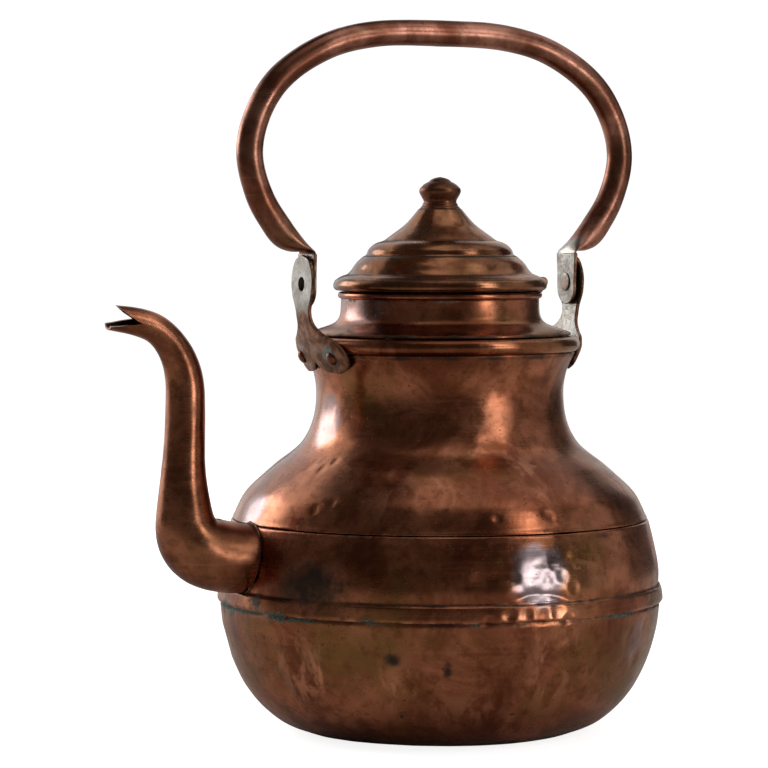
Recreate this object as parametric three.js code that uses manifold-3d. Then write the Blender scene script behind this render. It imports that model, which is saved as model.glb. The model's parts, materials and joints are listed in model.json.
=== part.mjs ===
// A copper coffee pot: a kettle with a long spout, a swinging bail handle and a hinged lid.
// Millimetres, +Z up. The origin is the centre of the flat base. The spout points along -X,
// the handle's plane is Y = 0, and the lid's hinge is at +X.
import * as THREE from 'three';
import { mergeVertices } from 'three/addons/utils/BufferGeometryUtils.js';
import Module from 'manifold-3d';

const wasm = await Module();
wasm.setup();

// ---------- Driving dimensions ----------
const GAP = 0.3;                 // clearance between pieces that touch
const SHEET = 1.2;               // copper sheet of the body
const FACETS = 32;               // flats round the kettle's axis

const BASE_R = 60.5;             // flat base
const BELLY_R = 100.4;           // lip of the lap seam, the widest point
const LAP_Z = 58;                // lower edge of the lap seam
const STEP_Z = 94.4;             // top edge of the belly band
const NECK_R = 55.8;
const RING_R = 59.4;             // centre circle of the rolled shoulder ring
const RING_Z = 172.8;
const ROLL_R = 3.6;              // radius of that roll
const ROLL_SHEET = 1.1;
const COLLAR_R = 44.7;
const COLLAR_TOP = 192.7;
const BEAD_R = 1.55;             // radius of the bead on the collar's edge
const BEAD_Z = COLLAR_TOP + GAP + BEAD_R;

const LID_R = 48.2;
const LID_Z = 196.7;             // underside of the lid's rim
const LID_SHEET = 1.0;
const LID_TOP = 233.4;           // seat of the knob
const FLANGE_R = 41.8;           // seating flange inside the collar
const FLANGE_DEPTH = 7.2;
const STUD_R = 2.2;              // stud under the knob

const HINGE_X = 51;              // axis of the lid's hinge
const HINGE_Z = 200;
const KNUCKLE_R = 2.4;
const KNUCKLE_HALF = 4.8;        // half the length of the whole barrel
const MIDDLE_HALF = 1.5;         // half the length of the lid's knuckle
const HINGE_PIN_R = 1.1;

const PIVOT_Z = 200;             // axis of the handle's swing
const TAB_IN = 65.2;             // inner face of each handle tab
const TAB_SHEET = 1.6;
const TAB_HALF = 7.7;
const TAB_TOP_HALF = 5.2;        // half width of the tab where it meets the tube
const TONGUE_HALF = 3;           // half width of the tongue inside the tube
const BRACKET_SHEET = 1.8;
const BRACKET_IN = TAB_IN + TAB_SHEET + GAP;
const BRACKET_OUT = BRACKET_IN + BRACKET_SHEET;
const PADDLE_HALF = 9.6;
const WAIST_HALF = 6.3;
const FOOT_HALF = 23;
const PIVOT_R = 2.75;            // shank of each pivot rivet
const PIVOT_HEAD_R = 4.4;
const PIVOT_HEAD = 1.3;

const FOOT_RIVET_ANGLE = 10;     // degrees each side of the bracket's middle
const FOOT_TILT = 25;            // degrees that the foot leans out, and its rivets point down
const FOOT_SEAT = [62.1, 164.9]; // radius and height where a rivet's head stands on the foot
const FOOT_RIVET_R = 1.6;
const FOOT_HEAD_R = 3.1;

const TUBE_R = 6.2;              // handle tube
const TUBE_WALL = 1.2;
const TUBE_END_Z = 213.2;        // where the tube's two ends are cut level

const SPOUT_WALL = 1.2;
const SPOUT_FOOT_Z = 79.4;       // height of the spout's foot on the belly
const SPOUT_HOLE_R = 11;         // hole through the belly band
const SOLDER_R = 16.8;           // ring of solder round the spout's foot

// ---------- Solids ----------
const DEGREE = Math.PI / 180;

// A closed geometry as a solid, without its degenerate triangles.
function solid(geometry) {
  geometry.deleteAttribute('normal');
  geometry.deleteAttribute('uv');
  const merged = mergeVertices(geometry, 1e-4);
  const index = merged.index.array;
  const triangles = [];
  for (let i = 0; i < index.length; i += 3) {
    const [a, b, c] = index.slice(i, i + 3);
    if (a !== b && b !== c && c !== a) triangles.push(a, b, c);
  }
  return new wasm.Manifold(new wasm.Mesh({
    numProp: 3,
    vertProperties: new Float32Array(merged.attributes.position.array),
    triVerts: new Uint32Array(triangles),
  }));
}

function geometryOf(body) {
  const mesh = body.getMesh();
  const geometry = new THREE.BufferGeometry();
  geometry.setAttribute('position', new THREE.BufferAttribute(mesh.vertProperties, 3));
  geometry.setIndex(new THREE.BufferAttribute(mesh.triVerts, 1));
  geometry.computeVertexNormals();
  return geometry;
}

// A closed outline of [radius, z] points, counterclockwise, turned about the Z axis.
function turned(outline, facets = FACETS) {
  const points = [...outline, outline[0]].map(([r, z]) => new THREE.Vector2(r, z));
  return solid(new THREE.LatheGeometry(points, facets).rotateX(Math.PI / 2));
}

// The line of points moved to its left by a distance.
function offset(points, distance) {
  const line = points.map(([x, y]) => new THREE.Vector2(x, y));
  return line.map((point, i) => {
    const before = line[Math.max(i - 1, 0)];
    const after = line[Math.min(i + 1, line.length - 1)];
    const back = point.clone().sub(before).normalize();
    const ahead = after.clone().sub(point).normalize();
    const along = back.add(ahead).normalize();
    const reach = i === 0 || i === line.length - 1 ? 1 : 1 / Math.max(along.dot(ahead), 0.7);
    return [point.x - along.y * distance * reach, point.y + along.x * distance * reach];
  });
}

// A turned sheet: its outer line runs upwards, and the thickness lies on its left.
function turnedSheet(outer, thickness) {
  return turned([...outer, ...offset(outer, thickness).reverse()]);
}

function smooth(points, count) {
  const curve = new THREE.SplineCurve(points.map(([x, y]) => new THREE.Vector2(x, y)));
  return curve.getSpacedPoints(count).map((p) => [p.x, p.y]);
}

// Points of an arc of a circle, angles in degrees.
function arc(x, y, radius, from, to, count) {
  const points = [];
  for (let i = 0; i <= count; i++) {
    const angle = (from + (to - from) * i / count) * DEGREE;
    points.push([x + radius * Math.cos(angle), y + radius * Math.sin(angle)]);
  }
  return points;
}

function shapeOf(points) {
  return new THREE.Shape(points.map(([x, y]) => new THREE.Vector2(x, y)));
}

// An outline of [x, z] points, extruded along Y from one side to the other.
function slabXZ(points, halfWidth) {
  const geometry = new THREE.ExtrudeGeometry(shapeOf(points), { depth: 2 * halfWidth, bevelEnabled: false });
  return solid(geometry.rotateX(Math.PI / 2).translate(0, halfWidth, 0));
}

// An outline of [y, z] points, extruded along X from low to high.
function slabYZ(points, low, high) {
  const geometry = new THREE.ExtrudeGeometry(shapeOf(points), { depth: high - low, bevelEnabled: false });
  return solid(geometry.rotateX(Math.PI / 2).rotateZ(Math.PI / 2).translate(low, 0, 0));
}

// A round rod along +X, from low to high.
function rodX(radius, low, high, sides = 16) {
  const rod = new THREE.CylinderGeometry(radius, radius, high - low, sides);
  return solid(rod.rotateZ(-Math.PI / 2).translate((low + high) / 2, 0, 0));
}

// A round rod along Y, centred on Y = 0.
function rodY(radius, halfLength, x, z, sides = 12) {
  const rod = new THREE.CylinderGeometry(radius, radius, 2 * halfLength, sides);
  return solid(rod.translate(x, 0, 0).translate(0, 0, z));
}

function box(low, high) {
  const size = high.map((value, i) => value - low[i]);
  const middle = high.map((value, i) => (value + low[i]) / 2);
  return solid(new THREE.BoxGeometry(...size).translate(...middle));
}

// A round tube along a centreline in the XZ plane. With no wall, it is a solid bar.
function tube(centreline, radiusAt, wall, steps, sides) {
  const across = new THREE.Vector3(0, 1, 0);
  const vertices = [];
  const faces = [];
  const rings = wall === null ? 1 : 2;
  for (let i = 0; i <= steps; i++) {
    const centre = centreline.getPointAt(i / steps);
    const out = new THREE.Vector3().crossVectors(across, centreline.getTangentAt(i / steps));
    for (let ring = 0; ring < rings; ring++) {
      const radius = radiusAt(i / steps) - ring * wall;
      for (let j = 0; j < sides; j++) {
        const angle = 2 * Math.PI * j / sides;
        const point = centre.clone().addScaledVector(out, radius * Math.cos(angle));
        vertices.push(...point.addScaledVector(across, radius * Math.sin(angle)).toArray());
      }
    }
  }
  const at = (i, ring, j) => (i * rings + ring) * sides + j % sides;
  const quad = (a, b, c, d) => faces.push(a, b, c, a, c, d);
  for (let j = 0; j < sides; j++) {
    for (let i = 0; i < steps; i++) {
      quad(at(i, 0, j), at(i, 0, j + 1), at(i + 1, 0, j + 1), at(i + 1, 0, j));
      if (rings === 2) quad(at(i, 1, j), at(i + 1, 1, j), at(i + 1, 1, j + 1), at(i, 1, j + 1));
    }
    if (rings === 2) {
      quad(at(0, 0, j), at(0, 1, j), at(0, 1, j + 1), at(0, 0, j + 1));
      quad(at(steps, 0, j), at(steps, 0, j + 1), at(steps, 1, j + 1), at(steps, 1, j));
    } else if (j > 0 && j < sides - 1) {
      faces.push(at(0, 0, 0), at(0, 0, j + 1), at(0, 0, j));
      faces.push(at(steps, 0, 0), at(steps, 0, j), at(steps, 0, j + 1));
    }
  }
  const geometry = new THREE.BufferGeometry();
  geometry.setAttribute('position', new THREE.Float32BufferAttribute(vertices, 3));
  geometry.setIndex(faces);
  return solid(geometry);
}

function curveXZ(points) {
  return new THREE.CatmullRomCurve3(points.map(([x, z]) => new THREE.Vector3(x, 0, z)), false, 'centripetal');
}

// ---------- Body shells ----------
const bowlLine = [
  [0, 0],
  ...smooth([[BASE_R, 0], [72.5, 4.6], [84.6, 15.3], [92.6, 28.8], [97.7, 45], [99.4, 56.6]], 7),
  [98.7, LAP_Z + 0.6],
  [98.7, LAP_Z + 7],
];
const bandLine = [
  [BELLY_R - 0.3, LAP_Z],
  [BELLY_R, LAP_Z + 0.8],
  [BELLY_R - 0.4, LAP_Z + 7],
  [98.8, LAP_Z + 14],
  [96.8, LAP_Z + 25],
  [94.3, STEP_Z],
];
const neckLine = [
  [92.5, STEP_Z - 5],
  [92.5, STEP_Z],
  ...smooth([[91.8, 96.3], [86.6, 106.9], [75.2, 117.9], [62.2, 128.7], [57.2, 139], [NECK_R, 151],
    [57.2, 160.5], [60.6, RING_Z - ROLL_R - GAP - 0.4]], 9),
];

function lowerBowl() {
  return turnedSheet(bowlLine, SHEET);
}

function bellyBand() {
  const spoutHole = rodX(SPOUT_HOLE_R, -BELLY_R - 5, -80).translate(0, 0, SPOUT_FOOT_Z);
  return turnedSheet(bandLine, SHEET).subtract(spoutHole);
}

// The outside of the belly and the shoulder, grown by a gap, as a tool that trims what stands on them.
function bandTrimmer() {
  const belly = turned([[0, LAP_Z], ...offset(bandLine, -GAP), [0, STEP_Z]]);
  const shoulder = turned([[0, STEP_Z - 1], ...offset(neckLine, -GAP).slice(1), [0, RING_Z - ROLL_R]]);
  return belly.add(shoulder);
}

function shoulderNeck() {
  return rivetPlaces().reduce((neck, place) => neck.subtract(place(footRivetHole())),
    turnedSheet(neckLine, SHEET));
}

function shoulderRing() {
  const outer = arc(RING_R, RING_Z, ROLL_R, -90, 202.5, 6);
  const inner = arc(RING_R, RING_Z, ROLL_R - ROLL_SHEET, 202.5, -90, 5);
  return turned([...outer, ...inner]);
}

function ringWire() {
  return turned(arc(RING_R, RING_Z, ROLL_R - ROLL_SHEET - 2 * GAP, 0, 300, 5));
}

function collar() {
  return turnedSheet([
    [RING_R - 0.8, RING_Z + ROLL_R + GAP + ROLL_SHEET],
    [52.7, 180],
    [47.6, 182.2],
    [45.2, 185],
    [COLLAR_R, 188.5],
    [COLLAR_R, COLLAR_TOP],
  ], ROLL_SHEET);
}

function collarBead() {
  return turned(arc(COLLAR_R - 0.3, BEAD_Z, BEAD_R, 0, 300, 5));
}

// ---------- Spout ----------
const spoutPath = curveXZ([
  [-90, SPOUT_FOOT_Z], [-103, 81.5], [-115.5, 86], [-122.5, 94], [-125.2, 107], [-125.3, 125], [-124.6, 145],
  [-125.2, 160], [-129.5, 172], [-138, 181.5], [-149, 185], [-161.4, 187.2],
]);

// Radius of the spout along its length, from its foot to its beak.
function spoutRadius(t) {
  const stations = [
    [0, 14.6], [0.12, 15.3], [0.2, 15], [0.3, 11.6], [0.42, 9.9],
    [0.62, 8.6], [0.78, 7.4], [0.9, 6.3], [1, 5.4],
  ];
  const next = stations.findIndex(([at]) => at >= t);
  if (next <= 0) return stations[0][1];
  const [from, low] = stations[next - 1];
  const [to, high] = stations[next];
  return low + (high - low) * (t - from) / (to - from);
}

function spoutBar(grow) {
  return tube(spoutPath, (t) => spoutRadius(t) + grow, null, 22, 10);
}

function spout() {
  const pipe = tube(spoutPath, spoutRadius, SPOUT_WALL, 22, 10);
  const beakCut = slabXZ([[-145, 184.5], [-172, 199.6], [-172, 183]], 12);
  return pipe.subtract(bandTrimmer()).subtract(beakCut);
}

// The ring of solder where the spout meets the belly.
function spoutFillet() {
  const ring = rodX(SOLDER_R, -100.5, -90, 24).translate(0, 0, SPOUT_FOOT_Z);
  return ring.subtract(spoutBar(GAP)).subtract(bandTrimmer());
}

// ---------- Handle brackets ----------
// Outline of the bracket seen along X: a round paddle, a waist and a foot with two lobes.
function bracketOutline() {
  const half = [
    ...smooth([[0, 212.8], [6.2, 210.6], [PADDLE_HALF, 203.5], [9.2, 196], [WAIST_HALF, 188], [7.4, 182.5],
      [12.5, 178.3], [19, 175.2], [FOOT_HALF, 170.5], [22, 164.4], [16, 161.4], [8, 161.8]], 22),
    [3.2, 163],
    [0, 166],
  ];
  const mirrored = half.slice(1, -1).map(([y, z]) => [-y, z]).reverse();
  return [...half, ...mirrored].reverse();
}

// Both brackets are made at +X, and the front one is turned half a circle.
function bracketPlate() {
  const thicken = (line) => [...offset(line, -BRACKET_SHEET), ...[...line].reverse()];
  const ringSide = RING_R + ROLL_R + GAP;
  const foot = turned(thicken([[58.2, 161], [62.9, 171.1], [ringSide, 173.4], [64.1, 178], [65.1, 182]]));
  const paddle = slabXZ(thicken([[64.1, 178], [BRACKET_IN, 188], [BRACKET_IN, 214]]), 12);
  return paddle.add(foot).intersect(slabYZ(bracketOutline(), 50, 72));
}

// Moves a rivet made at the origin, with its head along +X, to each of a bracket's two places.
function rivetPlacesAt(side) {
  const [radius, height] = FOOT_SEAT;
  return [-FOOT_RIVET_ANGLE, FOOT_RIVET_ANGLE].map((angle) => (body) => body
    .rotate([0, FOOT_TILT, 0]).translate(radius, 0, height).rotate([0, 0, side + angle]));
}

function rivetPlaces() {
  return [...rivetPlacesAt(180), ...rivetPlacesAt(0)];
}

function footRivetHole() {
  return rodX(FOOT_RIVET_R + GAP, -6, 8, 10);
}

// A domed head on the foot, and a shank that ends flush inside the neck.
function footRivet() {
  const shank = rodX(FOOT_RIVET_R, -4.2, 1, 10);
  const dome = new THREE.CylinderGeometry(FOOT_HEAD_R * 0.55, FOOT_HEAD_R, 1.6, 12);
  return shank.add(solid(dome.rotateZ(-Math.PI / 2).translate(0.8 + GAP, 0, 0)));
}

function bracket(side) {
  const pivotHole = rodX(PIVOT_R + GAP, 60, 75, 16).translate(0, 0, PIVOT_Z);
  const plate = bracketPlate().subtract(pivotHole).rotate([0, 0, side]);
  return rivetPlacesAt(side).reduce((body, place) => body.subtract(place(footRivetHole())), plate);
}

// ---------- Handle ----------
const rearHalf = [[67, 212], [78, 223], [89.2, 239], [93.9, 257], [90.6, 273.5], [79.2, 290.8], [57.2, 304.8],
  [34, 310.4]];
const handlePath = curveXZ([
  ...rearHalf.map(([x, z]) => [-x, z]),
  [0, 311.9],
  ...[...rearHalf].reverse(),
]);

function handleTube() {
  const pipe = tube(handlePath, () => TUBE_R, TUBE_WALL, 28, 10);
  return pipe.intersect(box([-120, -20, TUBE_END_Z], [120, 20, 330]));
}

// A strap with a round lower end and a narrow tongue that runs up inside the tube.
function tab() {
  const low = PIVOT_Z - 2.4;
  const top = TUBE_END_Z - GAP;
  const rightSide = [[TAB_HALF, PIVOT_Z + 6], [TAB_TOP_HALF, top], [TONGUE_HALF, top], [TONGUE_HALF, 225]];
  const leftSide = rightSide.map(([y, z]) => [-y, z]).reverse();
  const face = [...arc(0, low, TAB_HALF, -180, 0, 8), ...rightSide, ...leftSide];
  const side = [[TAB_IN, 188], [TAB_IN + TAB_SHEET, 188], [TAB_IN + TAB_SHEET, 213], [75, 221], [73.8, 222.2],
    [TAB_IN, 213.8]];
  const hole = rodX(PIVOT_R + GAP, 60, 70, 16).translate(0, 0, PIVOT_Z);
  return slabXZ(side, 12).intersect(slabYZ(face, 60, 80)).subtract(hole);
}

function pivotRivet() {
  const head = rodX(PIVOT_HEAD_R, TAB_IN - GAP - PIVOT_HEAD, TAB_IN - GAP, 20);
  return head.add(rodX(PIVOT_R, TAB_IN - 1, BRACKET_OUT - 0.5, 16)).translate(0, 0, PIVOT_Z);
}

// ---------- Lid ----------
const lidLine = [
  [46.9, LID_Z],
  [48, LID_Z + 1.1],
  [LID_R, 199.4],
  [47.2, 201.7],
  [41.8, 204],
  [39.8, 205.8],
  [34.8, 211.9],
  [32.3, 215.2],
  [25.2, 219.1],
  [22.6, 221.4],
  [16, 226],
  [10.2, 232.6],
  [8, LID_TOP],
  [STUD_R + GAP, LID_TOP],
];

function lidDome() {
  return turnedSheet(lidLine, LID_SHEET);
}

function lidFlange() {
  const top = LID_Z + LID_SHEET;
  return turned([
    [FLANGE_R - LID_SHEET, LID_Z - FLANGE_DEPTH],
    [FLANGE_R, LID_Z - FLANGE_DEPTH],
    [FLANGE_R, LID_Z],
    [45.3, LID_Z],
    [45.3, top],
    [FLANGE_R - LID_SHEET, top],
  ]);
}

function lidKnob() {
  const foot = LID_TOP + GAP;
  return turned([
    [0, foot - 3.6],
    [STUD_R, foot - 3.6],
    [STUD_R, foot],
    [8.8, foot],
    [9.3, foot + 0.9],
    [7.3, foot + 2.5],
    [9.3, foot + 7],
    [8.4, foot + 9.6],
    [4.4, foot + 11.8],
    [4, foot + 13],
    [0, foot + 13.8],
  ], 24);
}

function knobWasher() {
  const top = LID_TOP - LID_SHEET - GAP;
  return turned([[STUD_R + GAP, top - 0.8], [5, top - 0.8], [5, top], [STUD_R + GAP, top]], 16);
}

// ---------- Lid hinge ----------
function pinHole() {
  return rodY(HINGE_PIN_R + 0.2, 8, HINGE_X, HINGE_Z, 10);
}

function bodyHingeLeaf() {
  const leaf = slabXZ([[46.3, 187.6], [47.8, 187.6], [48.1, 193.4], [53, 198.6], [51, 200], [49.4, 198.4],
    [46.3, 195.9]], KNUCKLE_HALF);
  const slot = box([46, -MIDDLE_HALF - GAP, 194.4], [54, MIDDLE_HALF + GAP, 204]);
  return leaf.add(rodY(KNUCKLE_R, KNUCKLE_HALF, HINGE_X, HINGE_Z)).subtract(slot).subtract(pinHole());
}

function lidHingeLeaf() {
  const strap = slabXZ([[51, 200], [52.2, 202], [47.8, 203.4], [42.6, 205.6], [42.2, 204.3], [47.4, 202.1],
    [49.2, 201]], MIDDLE_HALF);
  return strap.add(rodY(KNUCKLE_R, MIDDLE_HALF, HINGE_X, HINGE_Z)).subtract(pinHole());
}

function hingePin() {
  return rodY(HINGE_PIN_R, KNUCKLE_HALF + 0.4, HINGE_X, HINGE_Z, 10);
}

// ---------- Materials ----------
const finishes = {
  copper: { color: 0x7d4a33, roughness: 0.36, metalness: 1 },
  dark_copper: { color: 0x5c3626, roughness: 0.42, metalness: 1 },
  tinned: { color: 0xb9b2a8, roughness: 0.5, metalness: 0.9 },
  solder: { color: 0x6f7468, roughness: 0.7, metalness: 0.5 },
};

const kettle = new THREE.Group();

function addPart(name, finish, body) {
  const mesh = new THREE.Mesh(geometryOf(body), new THREE.MeshStandardMaterial(finishes[finish]));
  mesh.name = name;
  kettle.add(mesh);
}

addPart('lower_bowl', 'copper', lowerBowl());
addPart('belly_band', 'copper', bellyBand());
addPart('shoulder_neck', 'copper', shoulderNeck());
addPart('shoulder_ring', 'copper', shoulderRing());
addPart('ring_wire', 'dark_copper', ringWire());
addPart('collar', 'copper', collar());
addPart('collar_bead', 'copper', collarBead());
addPart('spout', 'copper', spout());
addPart('spout_solder', 'solder', spoutFillet());

for (const [end, side] of [['front', 180], ['rear', 0]]) {
  addPart(`${end}_bracket`, 'tinned', bracket(side));
  rivetPlacesAt(side).forEach((place, i) => {
    addPart(`${end}_foot_rivet_${i + 1}`, 'dark_copper', place(footRivet()));
  });
  addPart(`${end}_tab`, 'tinned', tab().rotate([0, 0, side]));
  addPart(`${end}_pivot_rivet`, 'tinned', pivotRivet().rotate([0, 0, side]));
}

addPart('handle_tube', 'copper', handleTube());
addPart('lid_dome', 'copper', lidDome());
addPart('lid_flange', 'copper', lidFlange());
addPart('lid_knob', 'dark_copper', lidKnob());
addPart('knob_washer', 'dark_copper', knobWasher());
addPart('lid_hinge_leaf', 'dark_copper', lidHingeLeaf());
addPart('collar_hinge_leaf', 'dark_copper', bodyHingeLeaf());
addPart('hinge_pin', 'dark_copper', hingePin());

export default kettle;
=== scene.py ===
# The looks of an old copper coffee pot: hammered and spun sheet, a long spout, a swinging handle
# and a hinged lid. Lengths are millimetres in the CAD frame until a mesh is made, which is in metres.
import itertools
import json
import math

import bmesh
import bpy
import numpy as np
from mathutils import Matrix, Vector


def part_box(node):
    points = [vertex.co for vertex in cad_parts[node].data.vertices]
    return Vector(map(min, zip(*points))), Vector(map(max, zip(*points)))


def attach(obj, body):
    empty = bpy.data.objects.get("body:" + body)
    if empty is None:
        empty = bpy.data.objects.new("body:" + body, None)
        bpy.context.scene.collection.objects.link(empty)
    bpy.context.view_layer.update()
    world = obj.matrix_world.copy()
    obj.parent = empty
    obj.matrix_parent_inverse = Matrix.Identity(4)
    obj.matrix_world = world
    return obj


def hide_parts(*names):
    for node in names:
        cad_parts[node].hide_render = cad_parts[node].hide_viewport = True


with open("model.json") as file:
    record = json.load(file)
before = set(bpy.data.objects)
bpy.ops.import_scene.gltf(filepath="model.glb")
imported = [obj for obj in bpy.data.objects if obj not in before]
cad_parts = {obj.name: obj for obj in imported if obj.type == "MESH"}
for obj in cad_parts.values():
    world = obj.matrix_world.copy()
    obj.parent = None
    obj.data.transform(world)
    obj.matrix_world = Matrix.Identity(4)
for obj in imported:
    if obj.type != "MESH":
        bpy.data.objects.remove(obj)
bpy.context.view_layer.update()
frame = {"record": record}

MM = 0.001
SEGMENTS = 560                  # points round each body shell
RECORD = frame["record"]
BODY_OF = {node: body for body, nodes in RECORD["behaviour"]["bodies"].items() for node in nodes}


# ---------- Sizes from the frame ----------
def span(node):
    """The lowest and highest corners of a CAD node, in mm."""
    low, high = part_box(node)
    return np.array(low) / MM, np.array(high) / MM


def middle(node):
    low, high = span(node)
    return (low + high) / 2


LAP_Z = span("belly_band")[0][2]            # lower lip of the belly band
STEP_Z = span("belly_band")[1][2]           # its upper edge
BELLY_R = span("belly_band")[1][0]
RING_Z = middle("shoulder_ring")[2] + 0.1
ROLL_R = 3.6                                # roll at the shoulder
RING_R = span("shoulder_ring")[1][0] - ROLL_R
COLLAR_TOP = span("collar")[1][2]
BEAD_Z = middle("collar_bead")[2]
LID_Z = span("lid_dome")[0][2]
LID_TOP = span("lid_dome")[1][2]
PIVOT_Z = middle("front_pivot_rivet")[2]
HINGE_X, _, HINGE_Z = middle("hinge_pin")
SPOUT_FOOT_Z = middle("spout_solder")[2]
TUBE_END_Z = span("handle_tube")[0][2]
TAB_IN = span("rear_tab")[0][0]
SHEET = 1.2                                 # thickness of the body's copper
GAP = 0.3                                   # between pieces that touch
CREASE = 38                                 # an edge that turns by more degrees is drawn sharp
PLATE_CREASE = 50                           # the same on plates and small blocks
MERGED = 2e-6                               # points closer than this, in metres, become one


# ---------- Noise ----------
CELL_SHIFT = 512.0      # keeps the whole numbers of the cells above zero
JITTER = 0.42           # how far a hammer mark lies off its cell's middle, in cells


def lattice(cells, seed):
    """A repeatable number from -1 to 1 for each whole-number cell."""
    h = cells[..., 0] * 73856093 ^ cells[..., 1] * 19349663 ^ cells[..., 2] * 83492791 ^ seed * 2654435
    h = (h ^ (h >> 13)) * 1274126177 & 0x7FFFFFFF
    h = (h ^ (h >> 15)) * 668265263 & 0x7FFFFFFF
    return ((h >> 8) & 0xFFFF) / 32767.5 - 1


def noise(points, size, seed):
    """Smooth noise from -1 to 1, with features about size mm across."""
    q = np.asarray(points) / size + CELL_SHIFT
    cell = np.floor(q).astype(np.int64)
    f = q - cell
    f = f * f * (3 - 2 * f)
    total = np.zeros(q.shape[:-1])
    for corner in itertools.product((0, 1), repeat=3):
        weight = np.prod(np.where(corner, f, 1 - f), axis=-1)
        total += weight * lattice(cell + np.array(corner), seed)
    return total


def clouds(points, size, seed, octaves=3):
    """Noise from -1 to 1 with finer noise on top of it."""
    layers = [noise(points, size / 2**k, seed + k) / 2**k for k in range(octaves)]
    return sum(layers) / sum(0.5**k for k in range(octaves))


def facets(points, size, seed):
    """Hammer marks about size mm across: 0 in the middle of each flat, up to 1 on the ridges between."""
    q = np.asarray(points) / size + CELL_SHIFT
    cell = np.floor(q).astype(np.int64)
    nearest = np.full(q.shape[:-1], 9.0)
    for step in itertools.product((-1, 0, 1), repeat=3):
        near = cell + np.array(step)
        jitter = np.stack([lattice(near, seed + k) for k in range(3)], axis=-1) * JITTER + 0.5
        nearest = np.minimum(nearest, ((near + jitter - q) ** 2).sum(-1))
    return np.clip(nearest, 0, 1)


def ease(value, low, high):
    """0 below low, 1 above high, and smooth between."""
    t = np.clip((value - low) / (high - low), 0, 1)
    return t * t * (3 - 2 * t)


# ---------- Lines ----------
def between(t, low, high, a, b):
    """A blend that is a where t is low, and b where it is high."""
    return (high - t) / (high - low) * a + (t - low) / (high - low) * b


def spline(points, step=1.0):
    """A smooth curve through the points, with a point about every step mm."""
    p = np.array(points, float)
    p = np.vstack([2 * p[0] - p[1], p, 2 * p[-1] - p[-2]])
    knots = np.concatenate([[0], np.cumsum(np.linalg.norm(np.diff(p, axis=0), axis=1) ** 0.5)])
    made = []
    for i in range(1, len(p) - 2):
        count = max(2, math.ceil(np.linalg.norm(p[i + 1] - p[i]) / step))
        t = np.linspace(knots[i], knots[i + 1], count, endpoint=False)[:, None]
        a1, a2, a3 = (between(t, knots[j], knots[j + 1], p[j], p[j + 1]) for j in (i - 1, i, i + 1))
        b1 = between(t, knots[i - 1], knots[i + 1], a1, a2)
        b2 = between(t, knots[i], knots[i + 2], a2, a3)
        made.append(between(t, knots[i], knots[i + 1], b1, b2))
    return np.vstack(made + [p[-2:-1]])


def spaced(line, step):
    """The same line with its points a steady step apart."""
    reach = np.concatenate([[0], np.cumsum(np.linalg.norm(np.diff(line, axis=0), axis=1))])
    at = np.linspace(0, reach[-1], max(2, round(reach[-1] / step) + 1))
    return np.stack([np.interp(at, reach, line[:, k]) for k in range(line.shape[1])], axis=1)


def creased(*runs, step=0.8, soften=2):
    """Smooth runs, each going on from the end of the last, with the creases between them softened a little.

    A run of one point is a straight line to it.
    """
    line = [runs[0][0]]
    for run in (runs[0][1:], *runs[1:]):
        part = [line[-1], *run]
        line += list(spline(part, step / 2)[1:]) if len(part) > 2 else part[1:]
    line = spaced(np.array(line, float), step)
    for _ in range(soften):
        line[1:-1] = (line[:-2] + 2 * line[1:-1] + line[2:]) / 4
    return line


def arc(x, y, radius, start, end, count):
    angle = np.radians(np.linspace(start, end, count + 1))
    return np.stack([x + radius * np.cos(angle), y + radius * np.sin(angle)], axis=1)


def normals_of(line):
    """Unit normals of a 2-D line, on its right-hand side."""
    along = np.gradient(line, axis=0)
    along /= np.linalg.norm(along, axis=1)[:, None]
    return np.stack([along[:, 1], -along[:, 0]], axis=1)


# ---------- Meshes ----------
def linked(name, data):
    """A new object in the scene."""
    thing = bpy.data.objects.new(name, data)
    bpy.context.scene.collection.objects.link(thing)
    return thing


def mesh_piece(name, points, faces, marks=None, sharp=CREASE):
    """A smooth-shaded mesh object from points in mm, with a float attribute for each mark."""
    mesh = bpy.data.meshes.new(name)
    mesh.from_pydata((np.asarray(points) * MM).tolist(), [], faces)
    for mark, values in (marks or {}).items():
        layer = mesh.attributes.new(mark, "FLOAT", "POINT")
        layer.data.foreach_set("value", np.asarray(values, np.float32).ravel())
    build = bmesh.new()
    build.from_mesh(mesh)
    bmesh.ops.remove_doubles(build, verts=build.verts, dist=MERGED)
    bmesh.ops.recalc_face_normals(build, faces=build.faces)
    build.to_mesh(mesh)
    build.free()
    mesh.shade_smooth()
    mesh.set_sharp_from_angle(angle=math.radians(sharp))
    return linked(name, mesh)


def grid_faces(rows, columns, wrap_rows, wrap_columns):
    """The quads of a grid of points, which may close on itself either way."""
    index = np.arange(rows * columns).reshape(rows, columns)
    below = np.roll(index, -1, 0) if wrap_rows else index[1:]
    here = index if wrap_rows else index[:-1]
    if wrap_columns:
        quads = (here, np.roll(here, -1, 1), np.roll(below, -1, 1), below)
    else:
        quads = (here[:, :-1], here[:, 1:], below[:, 1:], below[:, :-1])
    return np.stack(quads, axis=-1).reshape(-1, 4).tolist()


def skin(name, points, wrap_rows=False, marks=None, sharp=CREASE):
    """A mesh over a grid of points, rows by columns by 3, whose columns close on themselves."""
    rows, columns = points.shape[:2]
    faces = grid_faces(rows, columns, wrap_rows, True)
    return mesh_piece(name, points.reshape(-1, 3), faces, marks, sharp)


def lathe(lines, segments):
    """A grid of points: for each row, one [radius, z] point or one for each segment, turned about Z."""
    angle = np.linspace(0, 2 * math.pi, segments, endpoint=False)
    radius = lines[..., 0]
    height = np.broadcast_to(lines[..., 1], (len(lines), segments))
    return np.stack([radius * np.cos(angle), radius * np.sin(angle), height], axis=-1)


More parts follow.
